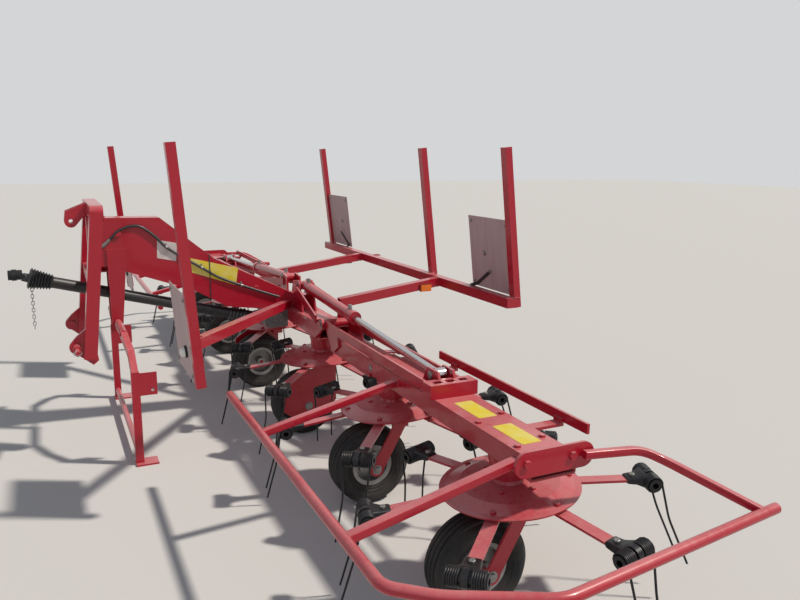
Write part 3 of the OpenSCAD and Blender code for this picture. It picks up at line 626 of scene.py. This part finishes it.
# The small plates
# Blank plates of printed film on aluminium: two yellow ones on the left wing's beam, and a white and
# a yellow one on the drawbar's left side. Their faces are smooth and a little dull.
def plate(corners, bend, thick):
    """A flat plate: the corners' outline with arcs, raised by its thickness along its normal, both
    faces closed to their middle."""
    c = np.asarray(corners, float)
    outline = arcs(np.roll(c, 1, 0), c, np.roll(c, -1, 0), bend, 5)
    raised = thick * unit(np.cross(c[1] - c[0], c[2] - c[1]))
    middle = np.broadcast_to(c.mean(0), outline.shape)
    return np.stack([middle, outline, outline + raised, middle + raised])


def printed_film(name, code, worn):
    """Printed film: its colour greys in 60 mm patches where the sun and dirt have dulled it."""
    made, tree, surface = shader(name, Roughness=0.4)
    place = add(tree, "TexCoord", {}, "Object")
    patch = add(tree, "TexNoise", {"Vector": place, "Scale": 16.0, "Detail": 5.0}, "Fac")
    share = add(tree, "MapRange", {"Value": patch, "From Min": 0.4, "From Max": 0.75, "To Max": 0.7})
    tone = add(tree, "Mix", {"data_type": "RGBA", 0: share, 6: linear(code), 7: linear(worn)}, 2)
    tree.links.new(tone, surface.inputs["Base Color"])
    return made


yellow_film = printed_film("yellow_printed_film", "#dfcb35", "#e2da98")
white_film = printed_film("white_printed_film", "#d8d3d0", "#b9a8a4")
PLATE_BEND = 0.006
PLATE_THICK = 0.0012
BEAM_TOP = 0.705
SQUARE = np.array([(-1, -1), (1, -1), (1, 1), (-1, 1)])
beam_corners = SQUARE * [0.100, 0.042]
beam_plate_x = (2.339, 2.634)
beam_plates = []
for x in beam_plate_x:
    corners = np.column_stack([beam_corners + [x, ROW], np.full(4, BEAM_TOP)])
    beam_plates.append(plate(corners, PLATE_BEND, PLATE_THICK))
piece("beam_plates", beam_plates, yellow_film, "left_wing")
DRAWBAR_SIDE = 0.068
white_corners = [(-0.910, 1.195), (-0.916, 1.083), (-0.803, 1.059), (-0.792, 1.171)]
yellow_corners = [(-0.717, 1.073), (-0.721, 0.985), (-0.434, 0.882), (-0.417, 0.993)]
for name, corners, look in (("white", white_corners, white_film), ("yellow", yellow_corners, yellow_film)):
    corners = [(DRAWBAR_SIDE, y + ROW, z) for y, z in corners]
    piece(f"drawbar_{name}_plate", [plate(corners, PLATE_BEND, PLATE_THICK)], look, "base")


# The frame bolts
# Hexagon bolts in the steelwork, painted over with it: along the wings' beams, in the end plates and
# in the rear rails, and two round caps on the drawbar's side.
SUNK = 0.0005  # a head starts this far inside the steel
BEAM_BOLT_R = 0.014
PLATE_BOLT_R = 0.016
RAIL_BOLT_R = 0.011
CAP_R = 0.020
beam_bolts = ((2.425, 0.070), (2.478, -0.070), (2.697, 0.070), (2.742, -0.070))  # x, y
plate_bolts = ((2.871, -0.120, 0.698), (2.871, 0.072, 0.698))  # x, y, z
rail_bolts = ((1.765, 0.246, 0.725), (2.585, 0.246, 0.725))  # x, y, z
caps = ((-1.135, 1.240), (-0.300, 0.850))  # y, z
for hand, mirror in HANDS:
    heads = [bolt((mirror * x, ROW + y, BEAM_TOP - SUNK), upright, BEAM_BOLT_R) for x, y in beam_bolts]
    heads += [bolt((mirror * x, ROW + y, z), (mirror, 0, 0), PLATE_BOLT_R) for x, y, z in plate_bolts]
    heads += [bolt((mirror * x, ROW + y, z), (0, 1, 0), RAIL_BOLT_R) for x, y, z in rail_bolts]
    piece(f"{hand}_beam_bolts", heads, red_enamel, f"{hand}_wing", sharp=20)
heads = [bolt((DRAWBAR_SIDE - SUNK, ROW + y, z), (1, 0, 0), CAP_R, 24) for y, z in caps]
piece("drawbar_caps", heads, red_enamel, "base", sharp=20)


# The axle nuts
# Zinc plated nuts with broad domed washers, on the outer face of each wheel's leg. The legs of the two
# centre wheels belong to the base, and the others to their wing.
LEG_FACE = 0.1145  # from the wheel's middle
AXLE_NUT_R = 0.017
AXLE_WASHER_R = 0.024
carriers = ("left_wing", "left_wing", "base", "base", "right_wing", "right_wing")


def washer(r, thick, crown):
    """Outline of a domed washer: its rim's radius and thickness, and its middle's height."""
    return [(0, 0), (0, r), (thick, r), (crown, 0.0)]


for i in REELS:
    out = 1 if i < 3 else -1
    seat = (reel_x[i] + out * LEG_FACE, WHEEL_Y, TYRE_R)
    nut = [lathe(washer(AXLE_WASHER_R, 0.0025, 0.0030), seat, (out, 0, 0), 24)]
    nut += [bolt(seat, (out, 0, 0), AXLE_NUT_R)]
    piece(f"axle_nut_{i + 1}", nut, dull_zinc, carriers[i], sharp=20)


# The marker panels' bolts
# Four zinc plated bolts near each sheet's corners, put through it with their heads to the front.
rear_panel = ((0.9840, 0.8025, 0.954), 6.56)  # the inner lower corner, and the slope in degrees
front_panel = ((1.0140, -0.9550, 0.672), 4.5)
BOLT_INSETS = (0.030, 0.393)
PANEL_BOLT_R = 0.010


def on_panel(panel, mirror, across, rise):
    """A place on a panel's front face, this far across and up from its corner, and the face's normal.
    Both the way up and the normal are turned to the front by the slope."""
    (x, y, z), slope = panel
    lean = math.radians(slope)
    face = np.array([0, -math.cos(lean), -math.sin(lean)])
    up = np.array([0, -math.sin(lean), math.cos(lean)])
    return np.array([mirror * (x + across), y + ROW, z]) + rise * up, face


heads = []
for panel in (rear_panel, front_panel):
    for mirror in (1, -1):
        for across in BOLT_INSETS:
            for rise in BOLT_INSETS:
                heads.append(bolt(*on_panel(panel, mirror, across, rise), PANEL_BOLT_R))
piece("panel_bolts", heads, dull_zinc, "base", sharp=20)


# The marker lamps' gaskets
# A black rubber gasket round the foot of each lens, 78 x 48 mm, on the rear arm's outer face.
LAMP_FACE = 0.6707
gasket = ((0.596, 0.866), (0.674, 0.866), (0.674, 0.914), (0.596, 0.914))
gaskets = []
for mirror in (1, -1):
    corners = [(mirror * LAMP_FACE, ROW + y, z) for y, z in gasket]
    gaskets.append(plate(corners[::mirror], bend=0.006, thick=0.004))
piece("lamp_gaskets", gaskets, black_moulding, "base")


# The front panels' lamps
# Small round position lamps, one low on each front panel's face to the tractor: a domed white lens
# pressed into a black rubber base, which is bolted through the sheet.
white_lens = lens("white_lens_plastic", "#dcdcd6", "#a39c90")
seats = [on_panel(front_panel, mirror, 0.296, 0.128) for mirror in (1, -1)]
base = [(0, 0), (0, 0.029), (0.009, 0.029), (0.011, 0.027), (0.011, 0)]
dome = [(0.009, 0), (0.009, 0.0245), (0.020, 0.0240), (0.028, 0.0190), (0.032, 0.0100), (0.033, 0)]
bases = [lathe(base, seat, face, 28) for seat, face in seats]
piece("front_lamp_bases", bases, moulded_rubber, "base")
domes = [lathe(dome, seat, face, 28) for seat, face in seats]
piece("front_lamp_lenses", domes, white_lens, "base", sharp=60)


# The link pins' rings
# Linch pins with a sprung ring of bright wire, 4.4 mm thick and 42 mm across, one through each lower
# link pin.
RING_WIRE_R = 0.0022
RING_R = 0.021
ring_lean = (0.35, 0, 1)
rings = []
for mirror in (1, -1):
    end = (mirror * 0.480, ROW - 1.414, 0.631)
    rings.append(lathe(circle(RING_WIRE_R, 8) + [0, RING_R], end, ring_lean, 32))
piece("linch_rings", rings, dull_zinc, "headstock", wrap_rows=True)


# The gearbox's bolts
# Four small zinc plated bolts hold the cover of each side boss, on a circle of 54 mm.
BOSS_Y = ROW - 0.170
BOSS_Z = 0.650
BOSS_FACE = 0.1095
COVER_R = 0.027
COVER_BOLT_R = 0.007
heads = []
for mirror in (1, -1):
    for turn in diagonals:
        y = BOSS_Y + COVER_R * math.cos(turn)
        z = BOSS_Z + COVER_R * math.sin(turn)
        heads.append(bolt((mirror * BOSS_FACE, y, z), (mirror, 0, 0), COVER_BOLT_R))
piece("gearbox_bolts", heads, dull_zinc, "base", sharp=20)


# The cylinders' ports
# Turned unions with banjo bolts, near both ends of each barrel. A barrel runs from its root pin to the
# rod's eye, so its direction comes from these two places.
root_x, root_z = 0.170, 0.870
eye_x, eye_z = 2.030, 0.770
BARREL_R = 0.030
BANJO_R = 0.012
BANJO_SEAT = 0.021  # above the barrel's skin
port_runs = (0.075, 0.800)  # along the barrel from its root
slope = math.atan2(root_z - eye_z, eye_x - root_x)
union = [(0, 0), (0, 0.013), (0.014, 0.013), (0.015, 0.010), (0.022, 0.010), (0.022, 0)]
for hand, mirror in HANDS:
    along = np.array([mirror * math.cos(slope), 0, -math.sin(slope)])
    up = np.array([mirror * math.sin(slope), 0, math.cos(slope)])
    ports = []
    for run in port_runs:
        seat = np.array([mirror * root_x, ROW, root_z]) + run * along + BARREL_R * up
        ports.append(lathe(union, seat, up, 20))
        ports.append(bolt(seat + BANJO_SEAT * up, up, BANJO_R))
    piece(f"{hand}_cylinder_ports", ports, dull_zinc, f"{hand}_barrel", sharp=30)


# The pins' washers and caps
# Zinc plated washers on the fold hinges' pins and the cylinders' root pins, the heads of the pins
# through the lugs at the rods' eyes, and those of the bolt through each wing's casting.
pins = ((0.780, 0.1102, 0.740, 0.015), (root_x, 0.0502, root_z, 0.0125))  # x, y of the end, z, r
WASHER_WIDE = 0.012
WASHER_THICK = 0.003
EYE_PIN_END = 0.0438
CASTING_BOLT_R = 0.018
casting_x, casting_face, casting_z = 1.455, 0.0718, 0.652
cap = [(0, 0), (0, 0.019), (0.005, 0.019), (0.007, 0.016), (0.007, 0)]
for hand, mirror in HANDS:
    rings = []
    for x, y, z, r in pins:
        ring = [(0, r), (0, r + WASHER_WIDE), (WASHER_THICK, r + WASHER_WIDE), (WASHER_THICK, r)]
        rings += [lathe(ring, (mirror * x, ROW + end * y, z), (0, end, 0), 24) for end in (1, -1)]
    piece(f"{hand}_pin_washers", rings, dull_zinc, "base", wrap_rows=True)
    heads = []
    for end in (1, -1):
        heads.append(lathe(cap, (mirror * eye_x, ROW + end * EYE_PIN_END, eye_z), (0, end, 0), 24))
    for end in (1, -1):
        seat = (mirror * casting_x, ROW + end * casting_face, casting_z)
        heads.append(bolt(seat, (0, end, 0), CASTING_BOLT_R))
    piece(f"{hand}_eye_pin_heads", heads, dull_zinc, f"{hand}_wing", sharp=20)


# The hose's clips and coupling
# Bent steel clips hold the hose to the drawbar's side, each under one bolt, and its front end has a
# turned steel coupling.
CLIP_BOLT_R = 0.006
CLIP_BOLT_RISE = 0.018
clipped = [4, 6, 8]  # the points of the route that have a clip
clip = [(-0.006, 0.0078), (-0.006, 0.0100), (0.006, 0.0100), (0.006, 0.0078)]
clips = [lathe(clip, route[k], unit(route[k + 1] - route[k - 1]), 20) for k in clipped]
piece("hose_clips", clips, dull_zinc, "base", wrap_rows=True)
nose = [(-0.012, 0), (-0.012, 0.0105), (0.020, 0.0105), (0.021, 0.013), (0.040, 0.013), (0.041, 0.009)]
nose += [(0.052, 0.009), (0.052, 0)]
coupling = [lathe(nose, route[0], route[0] - route[1], 20)]
bolt_seats = route[clipped] + [-HOSE_R, 0, CLIP_BOLT_RISE]
coupling += [bolt(seat, (1, 0, 0), CLIP_BOLT_R) for seat in bolt_seats]
piece("hose_coupling", coupling, dull_zinc, "base", sharp=30)


# The weld seams
# Fillets of weld metal under the paint, laid down in ripples where tubes and bars meet: round the
# guard's front arms, the wings' end plates, the rear posts' feet, the rear arms and the front arms.
SEAM_R = 0.0035
RIPPLE = 0.006
SWELL = 0.14  # how much thicker every other ring is


def seam(corners):
    """A closed weld seam: a small round profile carried round the corners' outline, its radius
    swelling on every other ring."""
    c = np.asarray(corners, float)
    loop = arcs(np.roll(c, 1, 0), c, np.roll(c, -1, 0), 0.004, 4)
    loop = np.vstack([loop, loop[:1]])
    run = np.concatenate([[0], np.cumsum(np.linalg.norm(np.diff(loop, axis=0), axis=1))])
    spots = np.linspace(0, run[-1], 2 * round(run[-1] / RIPPLE / 2), endpoint=False)
    line = np.stack([np.interp(spots, run, loop[:, k]) for k in range(3)], -1)
    along = unit(np.roll(line, -1, 0) - np.roll(line, 1, 0))
    up = unit(np.cross(c[1] - c[0], c[2] - c[1]))
    across = np.cross(along, up)
    swell = SEAM_R * (1 + SWELL * np.cos(np.pi * np.arange(len(line))))[:, None, None]
    ring = circle(1.0, 7)
    return line[:, None] + swell * (ring[None, :, :1] * across[:, None] + ring[None, :, 1:] * up)


def foot(middle, first, second):
    """Four corners of a rectangle about a middle, from its two half sides."""
    middle, first, second = (np.asarray(v, float) for v in (middle, first, second))
    near, far = middle - first, middle + first
    return np.array([near - second, far - second, far + second, near + second])


for hand, mirror in HANDS:
    feet = [foot((mirror * x, ROW - 0.0955, 0.6690), (0.0205, 0, 0), (0, 0, 0.0163)) for x in front_arm_x]
    seams = [seam(corners) for corners in feet]
    made = piece(f"{hand}_guard_seams", seams, red_enamel, f"{hand}_wing", wrap_rows=True)
    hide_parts(f"{hand}_guard")
    corners = foot((mirror * 2.8595, ROW, 0.665), (0, 0.0955, 0), (0, 0, 0.0405))
    piece(f"{hand}_plate_seam", [seam(corners)], red_enamel, f"{hand}_wing", wrap_rows=True)
post_x = (1.4325, 0.464, -0.464, -1.4325)
REAR_ARM_X = 0.643
FRONT_POST_X = 1.4385
seams = [seam(foot((x, ROW + 0.8010, 0.9520), (0.0255, 0, 0), (0, 0.0205, 0))) for x in post_x]
for mirror in (1, -1):
    corners = foot((mirror * REAR_ARM_X, ROW + 0.7315, 0.9200), (0.0280, 0, 0), (0, -0.0030, 0.0280))
    seams.append(seam(corners))
    corners = foot((mirror * FRONT_POST_X, ROW - 0.9365, 0.8715), (0.0135, -0.0245, 0), (0, 0, 0.0250))
    seams.append(seam(corners))
piece("frame_seams", seams, red_enamel, "base", wrap_rows=True)


# The rear rail's end plates
# Small steel squares that close the rail's tube at both ends, welded on and painted with it.
RAIL_END = 1.460
RAIL_HALF = 0.0275
rail_middle = [ROW + 0.760, 0.924]
square = SQUARE * RAIL_HALF + rail_middle
ends = []
for mirror in (1, -1):
    corners = np.column_stack([np.full(4, mirror * RAIL_END), square])
    ends.append(plate(corners[::mirror], bend=0.005, thick=0.002))
piece("rail_ends", ends, red_enamel, "base")


# The rear panels' straps
# Black rubber straps, each bolted to a panel's face and to the rail's top, that steady the sheet. One
# more bolt, with a broad washer, goes through the sheet near its middle.
STRAP_LIFT = 0.003
RAIL_STRAP_BOLT_R = 0.009
SHEET_WASHER_R = 0.017
straps = []
heads = []
for mirror in (1, -1):
    upper, face = on_panel(rear_panel, mirror, 0.210, 0.110)
    middle, face = on_panel(rear_panel, mirror, 0.055, 0.014)
    spot, face = on_panel(rear_panel, mirror, 0.155, 0.210)
    upper = upper + STRAP_LIFT * face
    middle = middle + STRAP_LIFT * face
    lower = np.array([mirror * 1.012, ROW + 0.768, 0.9545])
    straps.append(carried(rounded([upper, middle, lower], 0.012), box_profile(0.020, 0.005, 0.002), face))
    heads += [bolt(upper, face, PANEL_BOLT_R), bolt(lower, upright, RAIL_STRAP_BOLT_R)]
    heads += [lathe(washer(SHEET_WASHER_R, 0.002, 0.003), spot, face, 24), bolt(spot, face, PANEL_BOLT_R)]
piece("panel_straps", straps, moulded_rubber, "base", sharp=50)
piece("strap_bolts", heads, dull_zinc, "base", sharp=20)


# The guard's chain
# A short zinc plated chain hangs from the shaft guard's front cone; it keeps the guard from turning.
# Each link is a ring of 4 mm wire whose two halves are moved apart, a quarter turn from its neighbour.
LINKS = 12
LINK_PITCH = 0.0205
LINK_WIRE_R = 0.002
LINK_BEND_R = 0.0075
LINK_SPREAD = 0.0055
chain_top = np.array([0, ROW - 1.622, 0.924])
links = []
for k in range(LINKS):
    link = lathe(circle(LINK_WIRE_R, 7) + [0, LINK_BEND_R], (0, 0, 0), ((1, 0, 0), (0, 1, 0))[k % 2], 20)
    link[..., 2] += LINK_SPREAD * np.sign(np.round(link[..., 2], 6))
    links.append(link + chain_top - [0, 0, LINK_PITCH * k])
piece("guard_chain", links, dull_zinc, "base", wrap_rows=True)


# The hose's tie
# A black nylon cable tie, drawn tight round the drawbar and over the hose beside the yellow plate.
TIE_Y = ROW - 0.598
loop = [(0.001, 1.0904), (0.0702, 1.0904), (0.0702, 0.9960), (0.0856, 0.9865), (0.0856, 0.9675)]
loop += [(0.0702, 0.9580), (0.0702, 0.8047), (-0.0692, 0.8047), (-0.0692, 1.0904), (-0.001, 1.0904)]
loop = rounded([(x, TIE_Y, z) for x, z in loop], 0.004, 5)
tie = carried(loop, box_profile(0.0016, 0.006, 0.0006), (0, 1, 0), ends=False)
piece("hose_tie", [tie], black_moulding, "base", wrap_rows=True)
